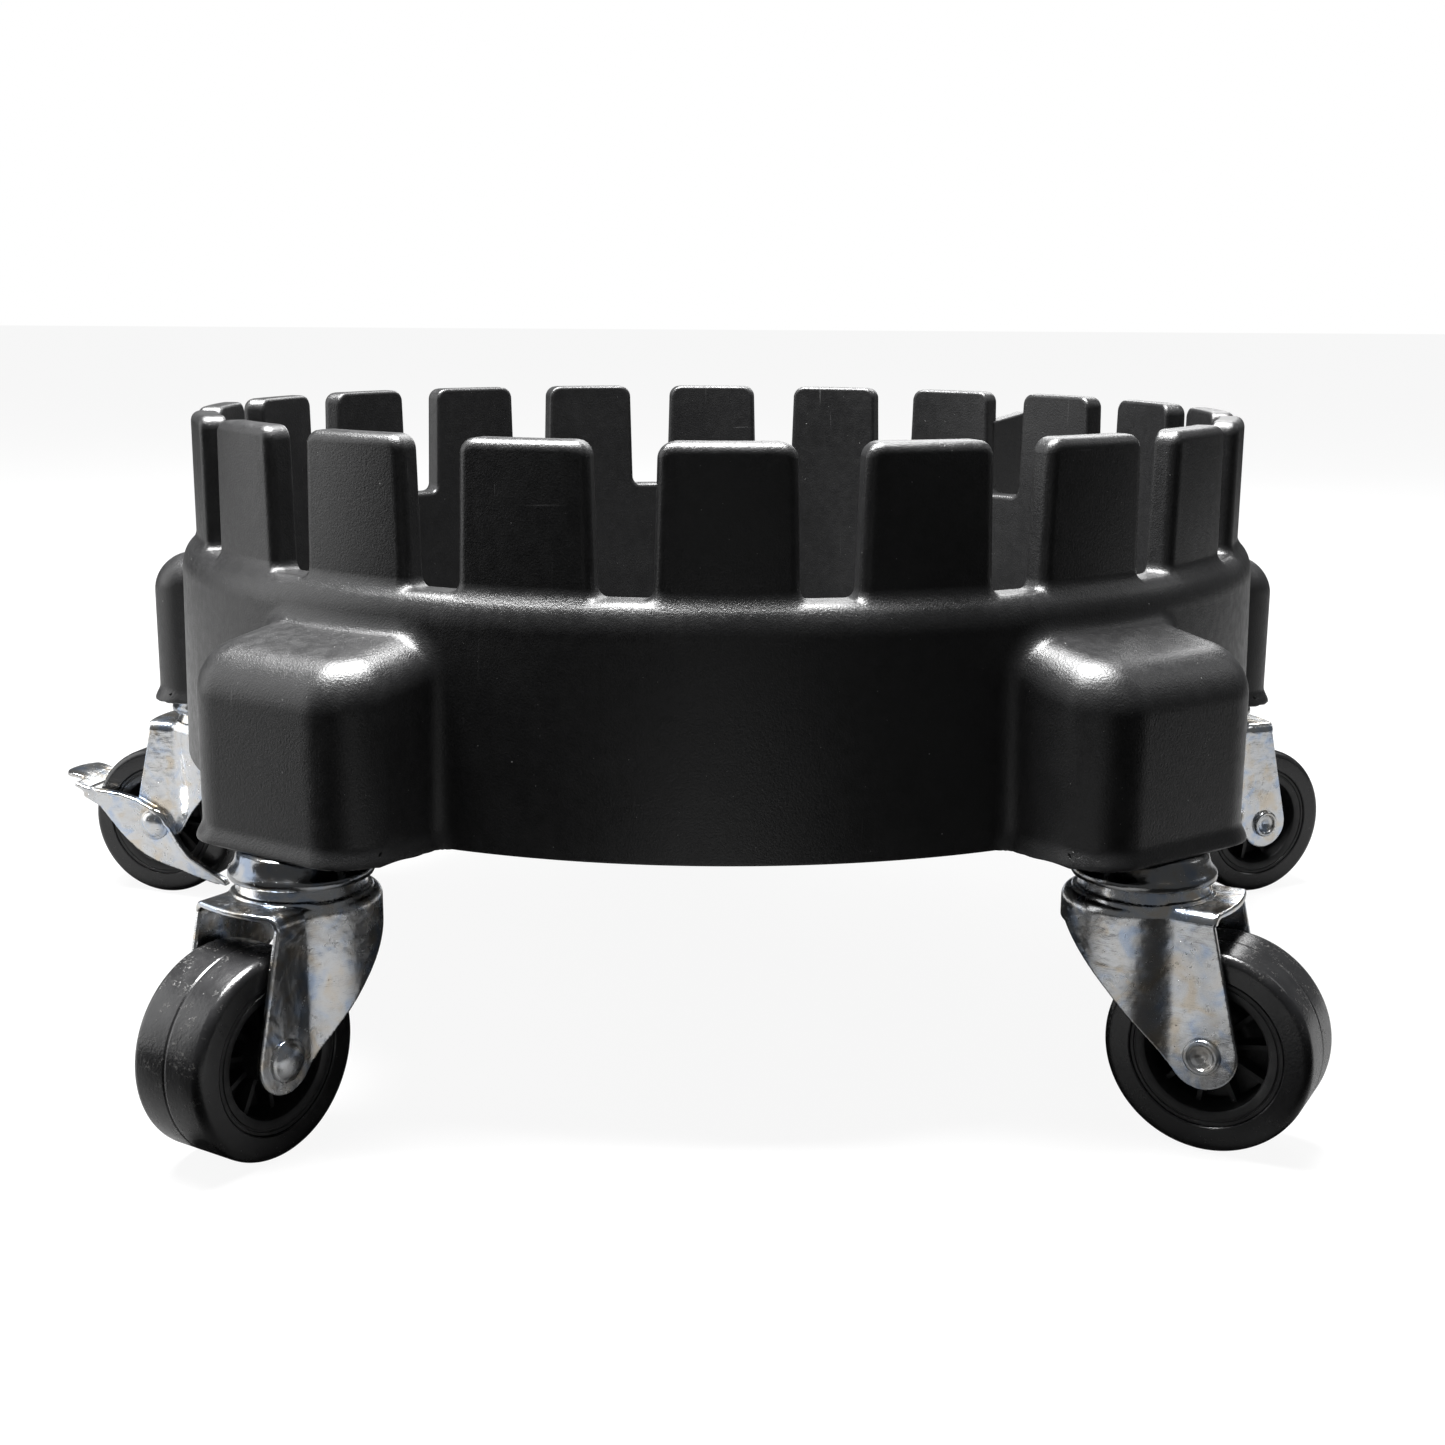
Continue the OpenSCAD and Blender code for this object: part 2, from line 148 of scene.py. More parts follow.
def nets(f, A, B, C, to_xyz=None):
    "closed quad surface of f = 0 on the lattice A x B x C"
    ga, gb, gc = np.meshgrid(A, B, C, indexing="ij")
    F = f(*to_xyz(ga, gb, gc)) if to_xyz else f(ga, gb, gc)
    S = F < 0
    L = [A, B, C]
    cnt = np.zeros(tuple(s - 1 for s in F.shape), np.int8)
    off = [(a, b, c) for a in (0, 1) for b in (0, 1) for c in (0, 1)]
    for a, b, c in off:
        cnt += S[a:a + cnt.shape[0], b:b + cnt.shape[1], c:c + cnt.shape[2]]
    mixed = (cnt > 0) & (cnt < 8)
    ci = np.argwhere(mixed)
    idx = np.full(cnt.shape, -1, np.int64)
    idx[mixed] = np.arange(len(ci))
    acc = np.zeros((len(ci), 3))
    w = np.zeros(len(ci))
    for o in off:
        for k in range(3):
            if o[k]:
                continue
            o2 = list(o); o2[k] = 1
            i0 = ci + np.array(o); i1 = ci + np.array(o2)
            v0 = F[i0[:, 0], i0[:, 1], i0[:, 2]]
            v1 = F[i1[:, 0], i1[:, 1], i1[:, 2]]
            m = (v0 < 0) != (v1 < 0)
            t = v0[m] / (v0[m] - v1[m])
            q0 = np.stack([L[j][i0[m, j]] for j in range(3)], 1)
            q1 = np.stack([L[j][i1[m, j]] for j in range(3)], 1)
            acc[m] += q0 + (q1 - q0) * t[:, None]
            w[m] += 1
    V = acc / w[:, None]
    Q = []

    def add(i, j, k, cells, low):
        q = np.stack([idx[i + c[0], j + c[1], k + c[2]] for c in cells], 1)
        q[~low] = q[~low][:, ::-1]
        Q.append(q)
    i, j, k = np.nonzero(S[:-1, 1:-1, 1:-1] != S[1:, 1:-1, 1:-1]); j += 1; k += 1
    add(i, j, k, [(0, -1, -1), (0, 0, -1), (0, 0, 0), (0, -1, 0)], S[i, j, k])
    i, j, k = np.nonzero(S[1:-1, :-1, 1:-1] != S[1:-1, 1:, 1:-1]); i += 1; k += 1
    add(i, j, k, [(-1, 0, -1), (-1, 0, 0), (0, 0, 0), (0, 0, -1)], S[i, j, k])
    i, j, k = np.nonzero(S[1:-1, 1:-1, :-1] != S[1:-1, 1:-1, 1:]); i += 1; j += 1
    add(i, j, k, [(-1, -1, 0), (0, -1, 0), (0, 0, 0), (-1, 0, 0)], S[i, j, k])
    return V, ci, np.concatenate(Q)


# ------------------------------------------------------------------ mesh helpers


def make(name, verts, faces, normals=None, smooth=True, attrs=None):
    "verts in metres"
    me = bpy.data.meshes.new(name)
    verts = np.asarray(verts, np.float64)
    if isinstance(faces, np.ndarray):
        n, w = faces.shape
        me.vertices.add(len(verts))
        me.vertices.foreach_set("co", verts.astype(np.float32).ravel())
        me.loops.add(n * w)
        me.loops.foreach_set("vertex_index", faces.astype(np.int32).ravel())
        me.polygons.add(n)
        me.polygons.foreach_set("loop_start", np.arange(0, n * w, w, dtype=np.int32))
        me.update(calc_edges=True)
    else:
        me.from_pydata([tuple(v) for v in verts], [], [tuple(f) for f in faces])
    me.validate()
    me.polygons.foreach_set("use_smooth", np.full(len(me.polygons), smooth))
    for k, v in (attrs or {}).items():
        a = me.attributes.new(k, "FLOAT", "POINT")
        a.data.foreach_set("value", np.asarray(v, np.float32))
    if normals is not None:
        me.normals_split_custom_set_from_vertices([tuple(n) for n in normals])
    me.update()
    o = bpy.data.objects.new(name, me)
    bpy.context.scene.collection.objects.link(o)
    return o


def field_mesh(f, A, B, C):
    "local vertices, quads and normals of a field, in mm"
    V, _, Q = nets(f, A, B, C)
    V = project(f, V)
    g = grad(f, V)
    g /= np.maximum(np.linalg.norm(g, axis=1), 1e-9)[:, None]
    return V, Q, g


def lathe(profile, seg=128, closed=True):
    """turns (radius, height) points about the third axis, into a closed skin with sharp
    corners kept by doubling points; points on the axis become poles"""
    V, Qs, T = [], [], []
    a = np.arange(seg) * 2 * math.pi / seg
    rows = []
    for r, h in profile:
        if r < 1e-6:
            rows.append([len(V)])
            V.append((0, 0, h))
        else:
            rows.append(list(range(len(V), len(V) + seg)))
            V += [(r * math.cos(t), r * math.sin(t), h) for t in a]
    n = len(profile)
    faces = []
    pairs = [(i, (i + 1) % n) for i in range(n)] if closed else [(i, i + 1) for i in range(n - 1)]
    for i, j in pairs:
        A, B = rows[i], rows[j]
        if len(A) == 1 and len(B) == 1:
            continue
        for s in range(seg):
            t = (s + 1) % seg
            if len(A) == 1:
                faces.append((A[0], B[t], B[s]))
            elif len(B) == 1:
                faces.append((A[s], A[t], B[0]))
            else:
                faces.append((A[s], A[t], B[t], B[s]))
    return np.array(V, float), faces


def arc(cr, ch, r, a0, a1, n=5):
    return [(cr + r * math.cos((a0 + (a1 - a0) * i / n) * RAD), ch + r * math.sin((a0 + (a1 - a0) * i / n) * RAD)) for i in range(n + 1)]


def sharp(o, deg=32):
    "smooth shading with edges over deg kept sharp"
    import bmesh
    bm = bmesh.new()
    bm.from_mesh(o.data)
    bmesh.ops.recalc_face_normals(bm, faces=bm.faces)
    for e in bm.edges:
        e.smooth = not (len(e.link_faces) == 2 and e.calc_face_angle(0) > deg * RAD)
    bm.to_mesh(o.data)
    bm.free()
    o.data.update()


def box_faces(base):
    b = base
    return [(b, b + 3, b + 2, b + 1), (b + 4, b + 5, b + 6, b + 7), (b, b + 1, b + 5, b + 4), (b + 1, b + 2, b + 6, b + 5), (b + 2, b + 3, b + 7, b + 6), (b + 3, b, b + 4, b + 7)]


# ------------------------------------------------------------------ materials


class Net:
    def __init__(self, name):
        self.m = bpy.data.materials.new(name)
        self.m.use_nodes = True
        self.t = self.m.node_tree
        self.b = next(n for n in self.t.nodes if n.type == "BSDF_PRINCIPLED")
        tc = self.t.nodes.new("ShaderNodeTexCoord")
        mp = self.node("ShaderNodeVectorMath", op="SCALE")
        self.link(tc.outputs["Object"], mp.inputs[0])
        mp.inputs["Scale"].default_value = 1000.0
        self.co = mp.outputs[0]

    def node(self, kind, op=None, **inp):
        n = self.t.nodes.new(kind)
        if op:
            n.operation = op
        for k, v in inp.items():
            self.put(n.inputs[k.replace("_", " ")], v)
        return n

    def link(self, a, b):
        self.t.links.new(a, b)

    def put(self, s, v):
        if isinstance(v, bpy.types.NodeSocket):
            self.link(v, s)
        else:
            s.default_value = v

    def math(self, op, a, b=0.0, c=None, clamp=False):
        n = self.t.nodes.new("ShaderNodeMath")
        n.operation = op
        n.use_clamp = clamp
        self.put(n.inputs[0], a)
        self.put(n.inputs[1], b)
        if c is not None:
            self.put(n.inputs[2], c)
        return n.outputs[0]

    def noise(self, scale, detail=3.0, rough=0.55, co=None, dist=0.0):
        n = self.node("ShaderNodeTexNoise", Scale=scale, Detail=detail, Roughness=rough, Distortion=dist)
        self.link(co or self.co, n.inputs["Vector"])
        return n.outputs["Fac"]

    def stretch(self, sx, sy, sz):
        n = self.t.nodes.new("ShaderNodeMapping")
        n.inputs["Scale"].default_value = (sx, sy, sz)
        self.link(self.co, n.inputs["Vector"])
        return n.outputs[0]

    def ramp(self, v, lo, hi, a=0.0, b=1.0):
        n = self.t.nodes.new("ShaderNodeMapRange")
        n.clamp = True
        n.interpolation_type = "SMOOTHSTEP"
        for s, x in zip(("Value", "From Min", "From Max", "To Min", "To Max"), (v, lo, hi, a, b)):
            self.put(n.inputs[s], x)
        return n.outputs["Result"]

    def mix(self, f, a, b):
        n = self.t.nodes.new("ShaderNodeMix")
        n.data_type = "RGBA"
        ins = [s for s in n.inputs if s.enabled]
        fac = next(s for s in ins if s.name == "Factor")
        sa = next(s for s in ins if s.name == "A")
        sb = next(s for s in ins if s.name == "B")
        self.put(fac, f)
        for s, v in ((sa, a), (sb, b)):
            self.put(s, v if isinstance(v, bpy.types.NodeSocket) else (*v, 1.0))
        return next(s for s in n.outputs if s.enabled)

    def attr(self, name):
        n = self.t.nodes.new("ShaderNodeAttribute")
        n.attribute_name = name
        return n.outputs["Fac"]

    def specks(self, scale, size, share):
        "sparse round flecks, size as a share of the cell"
        v = self.node("ShaderNodeTexVoronoi", Scale=scale)
        self.link(self.co, v.inputs["Vector"])
        sep = self.t.nodes.new("ShaderNodeSeparateColor")
        self.link(v.outputs["Color"], sep.inputs[0])
        pick = self.math("LESS_THAN", sep.outputs[0], share)
        rr = self.math("MULTIPLY_ADD", sep.outputs[1], size, size * 0.35)
        d = self.math("SUBTRACT", rr, v.outputs["Distance"])
        return self.math("MULTIPLY", pick, self.ramp(d, 0.0, size * 0.5))

    def bump(self, h, dist, strength=1.0, normal=None):
        n = self.node("ShaderNodeBump", Strength=strength, Distance=dist)
        self.link(h, n.inputs["Height"])
        if normal is not None:
            self.link(normal, n.inputs["Normal"])
        return n.outputs["Normal"]

    def out(self, **k):
        for a, v in k.items():
            s = self.b.inputs[a.replace("_", " ")]
            if not isinstance(v, bpy.types.NodeSocket) and s.type == "RGBA":
                v = (*v, 1.0)
            self.put(s, v)
        return self.m


def tray_plastic(name, fine=1.0, base=(0.009, 0.009, 0.0093), rough=0.31):
    n = Net(name)
    big = n.noise(0.018, 3)
    mid = n.noise(0.35, 3)
    grain = n.noise(1.7, 2, 0.6)
    tiny = n.noise(4.2, 1)
    spk = n.specks(0.24, 0.045, 0.5)
    spk2 = n.specks(0.62, 0.06, 0.3)
    dust = n.math("MAXIMUM", spk, spk2)
    scr = n.ramp(n.noise(1.0, 2, 0.5, n.stretch(0.9, 0.9, 0.045), 0.6), 0.70, 0.78)
    scr2 = n.ramp(n.noise(1.0, 2, 0.5, n.stretch(0.05, 0.05, 1.1), 0.4), 0.72, 0.80)
    scuff = n.math("MULTIPLY", n.math("MAXIMUM", scr, scr2), n.ramp(n.noise(0.03, 2), 0.52, 0.68))
    film = n.ramp(n.noise(0.045, 4, 0.62), 0.48, 0.74)
    col = n.mix(n.ramp(big, 0.3, 0.7), tuple(c * 0.82 for c in base), tuple(c * 1.25 for c in base))
    col = n.mix(n.math("MULTIPLY", film, 0.2), col, (0.03, 0.03, 0.03))
    col = n.mix(n.math("MULTIPLY", n.ramp(grain, 0.35, 0.75), 0.2), col, (0.026, 0.026, 0.027))
    col = n.mix(n.math("MULTIPLY", scuff, 0.35), col, (0.13, 0.13, 0.13))
    col = n.mix(n.math("MULTIPLY", dust, 0.62), col, (0.34, 0.34, 0.33))
    r = n.math("ADD", n.ramp(mid, 0.25, 0.75, rough - 0.05, rough + 0.06), n.math("MULTIPLY", big, 0.08))
    r = n.math("ADD", r, n.math("MULTIPLY", n.math("MAXIMUM", dust, scuff), 0.2), clamp=True)
    h = n.math("ADD", n.math("MULTIPLY", grain, 0.7), n.math("MULTIPLY", tiny, 0.35))
    nb = n.bump(h, 0.00013 * fine)
    nb = n.bump(n.math("SUBTRACT", n.math("MULTIPLY", dust, 0.6), n.math("MULTIPLY", scuff, 0.5)), 0.00006, 1.0, nb)
    return n.out(Base_Color=col, Roughness=r, Normal=nb, Specular_IOR_Level=0.5)


def zinc(name, tone=1.0, rough=0.2, tint=1.0):
    n = Net(name)
    wide = n.noise(0.09, 3)
    hue = n.noise(0.16, 3, 0.5, None, 0.8)
    pits = n.specks(0.9, 0.10, 0.30)
    stain = n.ramp(n.noise(0.5, 4, 0.7), 0.56, 0.74)
    fine = n.noise(4.0, 2)
    brush = n.noise(1.0, 2, 0.5, n.stretch(0.25, 0.25, 3.5))
    blue = tuple(c * tone for c in (0.48, 0.57, 0.72))
    warm = tuple(c * tone for c in (0.66, 0.58, 0.47))
    mid = tuple(c * tone for c in (0.68, 0.69, 0.70))
    col = n.mix(n.math("MULTIPLY", n.ramp(hue, 0.28, 0.5), 1.0), blue, mid)
    col = n.mix(n.math("MULTIPLY", n.ramp(hue, 0.5, 0.7), 0.8 * tint), col, warm)
    col = n.mix(n.math("MULTIPLY", stain, 0.35), col, tuple(c * tone for c in (0.34, 0.33, 0.32)))
    col = n.mix(n.math("MULTIPLY", pits, 0.75), col, (0.12, 0.11, 0.10))
    r = n.math("ADD", n.ramp(wide, 0.3, 0.7, rough - 0.05, rough + 0.09), n.math("MULTIPLY", stain, 0.14))
    r = n.math("ADD", r, n.math("MULTIPLY", pits, 0.3), clamp=True)
    h = n.math("ADD", n.math("MULTIPLY", wide, 1.4), n.math("MULTIPLY", fine, 0.05))
    h = n.math("ADD", h, n.math("MULTIPLY", brush, 0.05))
    nb = n.bump(h, 0.0004)
    nb = n.bump(n.math("MULTIPLY", pits, -1.0), 0.00012, 1.0, nb)
    return n.out(Base_Color=col, Roughness=r, Metallic=1.0, Normal=nb)


def rubber(name):
    n = Net(name)
    tread = n.attr("tread")
    dirt = n.ramp(n.noise(0.22, 4, 0.65), 0.46, 0.66)
    fleck = n.specks(0.8, 0.12, 0.35)
    streak = n.ramp(n.noise(1.3, 3, 0.6), 0.5, 0.72)
    grit = n.math("MAXIMUM", fleck, n.math("MULTIPLY", dirt, streak))
    amount = n.math("MULTIPLY", grit, n.math("MULTIPLY_ADD", tread, 0.26, 0.10))
    col = n.mix(n.ramp(n.noise(0.12, 3), 0.3, 0.7), (0.007, 0.007, 0.0075), (0.013, 0.013, 0.0135))
    col = n.mix(amount, col, (0.17, 0.165, 0.155))
    r = n.math("ADD", n.math("MULTIPLY_ADD", n.noise(0.4, 3), 0.14, 0.16), n.math("MULTIPLY", amount, 0.5), clamp=True)
    h = n.math("ADD", n.math("MULTIPLY", n.noise(1.4, 3), 0.5), n.math("MULTIPLY", amount, 0.8))
    return n.out(Base_Color=col, Roughness=r, Normal=n.bump(h, 0.00010), Specular_IOR_Level=0.55)


def hub_plastic(name):
    n = Net(name)
    dust = n.specks(0.7, 0.10, 0.25)
    film = n.ramp(n.noise(0.2, 4, 0.6), 0.45, 0.7)
    col = n.mix(n.ramp(n.noise(0.15, 3), 0.3, 0.7), (0.010, 0.010, 0.0105), (0.018, 0.018, 0.0185))
    col = n.mix(n.math("MULTIPLY", film, 0.35), col, (0.04, 0.0395, 0.0385))
    col = n.mix(n.math("MULTIPLY", dust, 0.5), col, (0.3, 0.3, 0.29))
    r = n.math("ADD", n.math("MULTIPLY_ADD", n.noise(0.5, 3), 0.14, 0.34), n.math("MULTIPLY", dust, 0.3), clamp=True)
    return n.out(Base_Color=col, Roughness=r, Normal=n.bump(n.noise(1.8, 2), 0.00006))


M_TRAY = tray_plastic("tray_plastic")
M_FLOOR = tray_plastic("tray_plastic_floor", 0.6, (0.011, 0.011, 0.0113), 0.34)
M_FORK = zinc("fork_zinc", 1.0, 0.19)
M_LEVER = zinc("lever_zinc", 0.98, 0.21)
# painted shade: the cups' zinc is darkened to tone 0.42 for the shade they sit in under the housings
M_CUP = zinc("cup_zinc", 0.42, 0.14)
M_RIVET = zinc("rivet_steel", 0.92, 0.24, 0.6)
M_STEM = zinc("stem_steel", 0.85, 0.28, 0.6)
M_BALL = zinc("ball_steel", 0.9, 0.12, 0.4)
M_TYRE = rubber("tyre_rubber")
M_HUB = hub_plastic("hub_plastic")


def dress(o, mat, body, node):
    o.data.materials.clear()
    o.data.materials.append(mat)
    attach(o, body)
    if node:
        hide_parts(node)


# ------------------------------------------------------------------ tray

R_IN, R_TOOTH, R_SKIRT = 146.0, 153.45, 158.35
Z_RIM, Z_GAP, Z_FOOT = 167.5, 131.3, 70.3
Z_FLOOR = 77.0


def tray_parts(x, y, z):
    rho = np.hypot(x, y)
    th = np.degrees(np.arctan2(x, -y))
    a = np.abs(np.mod(th + 36, 72) - 36)               # 0 between housings, 36 on one
    t = np.abs(np.mod(a + 9, 18) - 9)                  # 0 on a tooth, 9 in a gap
    g = (9 - t) * RAD
    gy = rho * np.sin(g)
    half = 6.8 + 1.0 * (z - Z_GAP) / (Z_RIM - Z_GAP)
    side = half - gy                                   # <0 in the tooth
    d = (36 - a) * RAD
    px, py = rho * np.cos(d), np.abs(rho * np.sin(d))
    # teeth, on a ring with a rolled shoulder
    tooth = ri(ri(side, z - Z_RIM, 3.8), rho - R_TOOTH, 2.8)
    rs = R_SKIRT + 0.25 - 0.9 * np.clip((z - 72) / 50, 0, 1)
    ring = ri(1.6 * (rho - rs), z - Z_GAP, 8.0) / 1.25
    body = ru(tooth, ring, 2.2)
    # caster housing
    flare = 1.2 * step((75.2 - z) / 4.6)
    top = (z - (120.9 - 0.165 * (px - 158))) * 0.987
    pod = ri(px - 185.4 - flare, py - 29.0 - flare, 13.5)
    pod = ri(pod, top, 10.5)
    pod = np.maximum(pod, 151.5 - px)
    out = ru(body, pod, 4.2)
    return rho, a, px, py, out


def tray(x, y, z):
    rho, a, px, py, out = tray_parts(x, y, z)
    f = ri(out, R_IN - rho, 1.1)
    f = ri(f, Z_FOOT - z, 0.5)
    # hollow underside with stem boss, ribs and ties
    hollow = ri(ri(out + 3.0, 148.7 - rho, 0.8), z - 126.5, 0.8)
    r_b = np.hypot(px - 173.2, py)
    ribs = np.minimum(r_b - 9.3, np.maximum(np.minimum(np.abs(py) - 1.2, np.abs(px - 173.2) - 1.2), 161 - px))
    ribs = np.minimum(ribs, np.maximum(rho * np.sin(np.abs(a - 18) * RAD) - 1.2, rho - 158))
    f = ri(f, -ri(hollow, -ribs, 0.4), 0.4)
    hole = np.maximum(r_b - 5.9, z - 97.5)
    f = np.maximum(f, -hole)
    # floor's outer band and its fillet into the wall
    band = np.maximum(ri(z - Z_FLOOR - 0.4, 138.6 - rho, 0.35), np.maximum(74.0 - z, rho - 148.0))
    return ru(f, band, 1.0)


def lines(*spans):
    "lattice lines: (start, end, pitch) runs joined end to end"
    out = []
    for a, b, h in spans:
        n = max(1, int(round((b - a) / h)))
        out += list(a + (b - a) * np.arange(n) / n)
    out.append(spans[-1][1])
    return np.array(out)


def build_tray():
    q = 1.0
    e = 0.2
    A = lines((137.6, 145.2, 1.5), (145.2, 160.0, 0.72 * q), (160.0, 175.0, 1.5), (175.0, 188.2, 1.0 * q))
    spans, at = [], e
    for c in (6.35, 11.65, 24.35, 29.65):
        spans += [(at, c - 1.45, 0.85), (c - 1.45, c + 1.45, 0.26 * q)]
        at = c + 1.45
    spans += [(at, 36 - e, 0.85)]
    B = np.concatenate([[-e], lines(*spans), [36 + e]])
    C = lines((68.9, 71.6, 0.45), (71.6, 79.5, 0.85), (79.5, 103, 2.6), (103, 121.5, 1.25 * q), (121.5, 135.5, 0.62 * q),
              (135.5, 160.5, 2.6), (160.5, 168.6, 0.5 * q))

    def xyz(r, th, z):
        return r * np.sin(th * RAD), -r * np.cos(th * RAD), z
    V, ci, Q = nets(tray, A, B, C, xyz)
    first, last = ci[:, 1] == 0, ci[:, 1] == len(B) - 2
    V[first, 1] = 0
    V[last, 1] = 36
    P = np.stack(xyz(V[:, 0], V[:, 1], V[:, 2]), 1)
    P = project(tray, P, 4, 0.5)
    rho = np.hypot(P[:, 0], P[:, 1])
    th = np.degrees(np.arctan2(P[:, 0], -P[:, 1]))
    th[first], th[last] = 0, 36
    # ten mirrored copies that share the vertices on their seams
    inner = ~(first | last)
    n0, n1, ni = first.sum(), last.sum(), inner.sum()
    VV, FF = [], []
    base0 = 0
    id0 = [base0 + k * n0 for k in range(5)]            # seams at 0, 72, ...
    id1 = [5 * n0 + k * n1 for k in range(5)]           # seams at 36, 108, ...
    idi = 5 * (n0 + n1)
    tot = idi + 10 * ni
    G = np.empty((tot, 3))
    for k in range(10):
        ang = 36 * k + th if k % 2 == 0 else 36 * (k + 1) - th
        C3 = np.stack(xyz(rho, ang, P[:, 2]), 1)
        m = np.empty(len(P), np.int64)
        m[first] = id0[(k + 1) // 2 % 5] + np.arange(n0)
        m[last] = id1[k // 2] + np.arange(n1)
        m[inner] = idi + k * ni + np.arange(ni)
        G[m] = C3
        F = m[Q]
        FF.append(F if k % 2 == 0 else F[:, ::-1])
    return G, np.concatenate(FF)


def thin_out(name, V, Q, target, f):
    "collapses a dense closed skin to about target triangles, then puts it back on its field"
    o = make(name + "_dense", V / 1000.0, Q)
    tris = 2 * len(Q)
    if tris > target:
        m = o.modifiers.new("thin", "DECIMATE")
        m.ratio = target / tris
        m.use_collapse_triangulate = True
    dg = bpy.context.evaluated_depsgraph_get()
    me = bpy.data.meshes.new_from_object(o.evaluated_get(dg))
    bpy.data.objects.remove(o)
    n = len(me.vertices)
    co = np.empty(n * 3, np.float32)
    me.vertices.foreach_get("co", co)
    P = project(f, co.reshape(-1, 3).astype(float) * 1000.0, 2, 0.15)
    me.vertices.foreach_set("co", (P / 1000.0 + UP0).astype(np.float32).ravel())
    g = grad(f, P)
    g /= np.maximum(np.linalg.norm(g, axis=1), 1e-9)[:, None]
    me.polygons.foreach_set("use_smooth", np.ones(len(me.polygons), bool))
    me.normals_split_custom_set_from_vertices([tuple(v) for v in g])
    me.name = name
    me.update()
    o = bpy.data.objects.new(name, me)
    bpy.context.scene.collection.objects.link(o)
    return o


V, Q = build_tray()
tray_o = thin_out("tray", V, Q, 190000, tray)
dress(tray_o, M_TRAY, "base", "caddy_base")

# floor disc inside the band, with shallow moulded rings, and the ribs under it
prof = [(0, 77.0)]
for r in (36.0, 92.0):
    prof += [(r - 2.3, 77.0), (r - 1.6, 77.0), (r - 0.8, 76.6), (r + 0.8, 76.6), (r + 1.6, 77.0), (r + 2.3, 77.0)]
prof += [(139.2, 77.0), (139.9, 77.0), (140.2, 76.8), (140.2, 74.0), (97.2, 74.0), (97.2, 70.6), (96.9, 70.3), (95.1, 70.3), (94.8, 70.6), (94.8, 74.0),
         (45.2, 74.0), (45.2, 70.6), (44.9, 70.3), (43.1, 70.3), (42.8, 70.6), (42.8, 74.0), (0, 74.0)]
V, F = lathe(prof, 180, closed=False)
V = [tuple(v) for v in V]
for k in range(10):
    a = k * 36 * RAD
    d, s = (math.sin(a), -math.cos(a)), (math.cos(a), math.sin(a))
    b = len(V)
    for z in (70.4, 74.5):
        for r, w in ((44, -1.2), (146.5, -1.2), (146.5, 1.2), (44, 1.2)):
            V.append((r * d[0] + w * s[0], r * d[1] + w * s[1], z))
    F += box_faces(b)
floor_o = make("tray_floor", np.array(V) / 1000.0 + UP0, F)
sharp(floor_o, 40)
dress(floor_o, M_FLOOR, "base", None)


# fin behind the right-hand rear gap
def fin(x, y, z):
    p = poly_sdf(x, z, [(149.5, 123.3), (149.5, 157.0), (160, 158.2), (171.5, 159.6), (174.3, 157.8), (175.0, 146), (157.4, 104), (155, 104)])
    return ri(p, np.abs(y) - 2.35, 0.9)


V, Qf, N = field_mesh(fin, np.arange(148, 177, 0.6), np.arange(-3.6, 3.7, 0.45), np.arange(102, 161.5, 0.7))
a = 138.6 * RAD
d, s = np.array([math.sin(a), -math.cos(a), 0]), np.array([math.cos(a), math.sin(a), 0])
up = np.array([0, 0, 1.0])
W = V[:, :1] * d + V[:, 1:2] * s + V[:, 2:] * up
fin_o = make("tray_fin", W / 1000.0 + UP0, Qf, N[:, :1] * d + N[:, 1:2] * s + N[:, 2:] * up)
dress(fin_o, M_TRAY, "base", None)

# ------------------------------------------------------------------ casters

LEG, SHEET, PLATE = 13.6, 1.6, 60.2


def tangent(p, c, r, s):
    d = math.hypot(p[0] - c[0], p[1] - c[1])
    a = math.atan2(p[1] - c[1], p[0] - c[0]) + s * math.acos(r / d)
    return (c[0] + r * math.cos(a), c[1] + r * math.sin(a))


C0 = (TRAIL, AXLE)
T1 = tangent((5.5, 30.2), C0, 8.4, 1)
T2 = tangent((21.5, 57.0), C0, 8.4, -1)
SIDE = [(-30, 75), (-30, 51.8), (-15.5, 51.8), (-2.4, 38.9), (5.5, 30.2), T1, C0, T2, (21.5, 57.0), (30, 57.0), (30, 75)]


def fork(x, y, z):
    plan = ru(np.hypot(x + 1.3, y) - 18.2, np.maximum(np.abs(y) - LEG, -x - 1.3), 1.6)
    r = np.hypot(x, y)
    up_ = step((r - 7.4) / 1.7) * (1 - step((r - 14.1) / 1.9))
    slope = np.where(((r > 7.4) & (r < 9.1)) | ((r > 14.1) & (r < 16.0)), 2.2, 1.0)
    # a second low step round the race
    low = 0.7 * (1 - step((r - 16.6) / 0.7))
    outer = ri(plan, (z - PLATE + 0.3 - low - 3.9 * up_) / slope, 2.9)
    skin = np.abs(outer + SHEET / 2) - SHEET / 2
    side = np.minimum(poly_sdf(x, z, SIDE), np.hypot(x - TRAIL, z - AXLE) - 8.4)
    side = np.maximum(side, np.minimum(z - 56.5, x - 21.6 - 2.2 * (1 - (y / LEG) ** 2)))
    f = ri(skin, side, 0.55)
    f = np.maximum(f, 5.05 - r)
    return np.maximum(f, np.where(z < 40, 3.0 - np.hypot(x - TRAIL, z - AXLE), -9))


h = 0.46
VF, QF, NF = field_mesh(fork, np.arange(-20.6, 30.2, h), np.arange(-19.4, 19.5, h), np.arange(15.6, 66.4, h))


def lathe_y(profile, seg=128):
    "lathe about the axle, at its height and trail; profile is (radius, along the axle)"
    V, F = lathe(profile, seg, closed=True)
    return np.stack([V[:, 0] + TRAIL, V[:, 2], V[:, 1] + AXLE], 1), F


